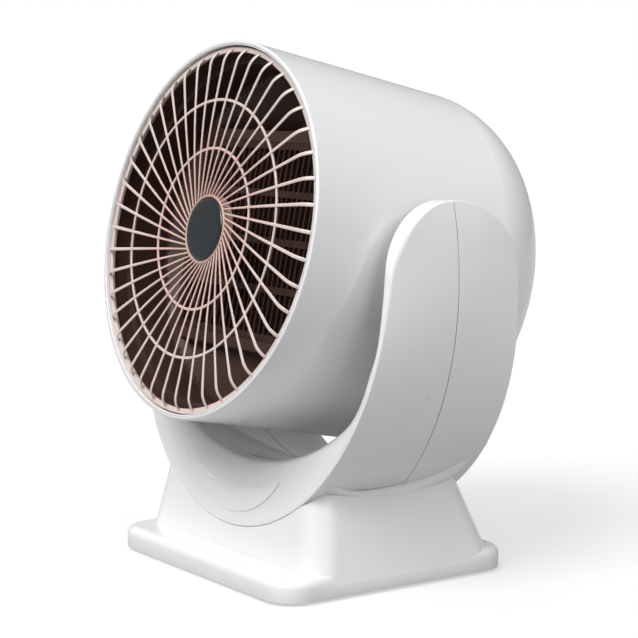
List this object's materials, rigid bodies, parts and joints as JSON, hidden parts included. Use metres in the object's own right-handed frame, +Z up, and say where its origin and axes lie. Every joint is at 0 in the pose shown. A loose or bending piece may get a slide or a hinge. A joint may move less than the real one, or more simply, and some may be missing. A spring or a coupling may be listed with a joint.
{
  "type": "desktop fan heater",
  "caption": "Free-standing desktop fan heater: a round tilting head with a radial grille, held in a U-shaped yoke on a tapered pedestal and plate.",
  "frame": {"origin": "on the floor, straight below the tilt axis, midway between the arms", "axes": "+Z up, the head faces -Y, the tilt axis is parallel to X"},
  "size_m": [0.1946, 0.1678, 0.2358],
  "materials": {
    "shell_white": "glossy white moulding",
    "grille_rose": "pale rose lacquer with a metallic sheen",
    "hub_dark": "glossy dark disc",
    "duct_dark": "dark heat-proof plastic",
    "heating_core": "oxidised fins",
    "steel": "zinc-plated steel",
    "terminal_metal": "tinned brass",
    "fan_dark": "dark moulding",
    "board_green": "circuit board",
    "black_plastic": "fine satin",
    "washer_plastic": "natural low-friction plastic",
    "rubber_grey": "soft foot rubber"
  },
  "bodies": {
    "stand": {"base_housing": "shell_white", "bottom_cover": "shell_white", "rubber_feet": "rubber_grey", "base_screws": "steel", "yoke_screws": "steel", "ballast_weight": "steel", "yoke_front_shell": "shell_white", "yoke_rear_shell": "shell_white", "friction_washers": "washer_plastic", "control_panel": "shell_white", "control_board": "board_green", "power_board": "board_green", "relays": "black_plastic", "tip_switch_body": "black_plastic", "rocker_frame": "black_plastic", "cord_gland": "black_plastic"},
    "head": {"front_housing": "shell_white", "rear_housing": "shell_white", "head_screws": "steel", "rear_guard": "shell_white", "front_grille": "grille_rose", "hub_cap": "hub_dark", "air_duct": "duct_dark", "element_frame": "duct_dark", "ptc_element": "heating_core", "element_terminals": "terminal_metal", "thermal_cutout": "black_plastic", "motor_bracket": "duct_dark", "fan_motor": "steel", "pivot_pins": "washer_plastic"},
    "fan": {"fan_impeller": "fan_dark", "motor_shaft": "steel", "impeller_nut": "steel"},
    "mains_key": {"rocker_key": "black_plastic"},
    "plunger": {"tip_plunger": "black_plastic"}
  },
  "joints": [
    {"name": "head_tilt", "type": "hinge", "parent": "stand", "child": "head", "pos_m": [0, 0, 0.1404], "axis": [-1, 0, 0], "range_deg": [-12, 18]},
    {"name": "fan_spin", "type": "hinge", "parent": "head", "child": "fan", "pos_m": [0, 0, 0.1404], "axis": [0, -0.9781, 0.2079], "continuous": true},
    {"name": "mains_rocker", "type": "hinge", "parent": "stand", "child": "mains_key", "pos_m": [-0.041, 0.04083, 0.01877], "axis": [1, 0, 0], "range_deg": [0, 14]},
    {"name": "tip_plunger_slide", "type": "slide", "parent": "stand", "child": "plunger", "axis": [0, 0, -1], "range_m": [0, 0.003], "stiffness_N_per_m": 60, "springref_m": 0.005}
  ]
}
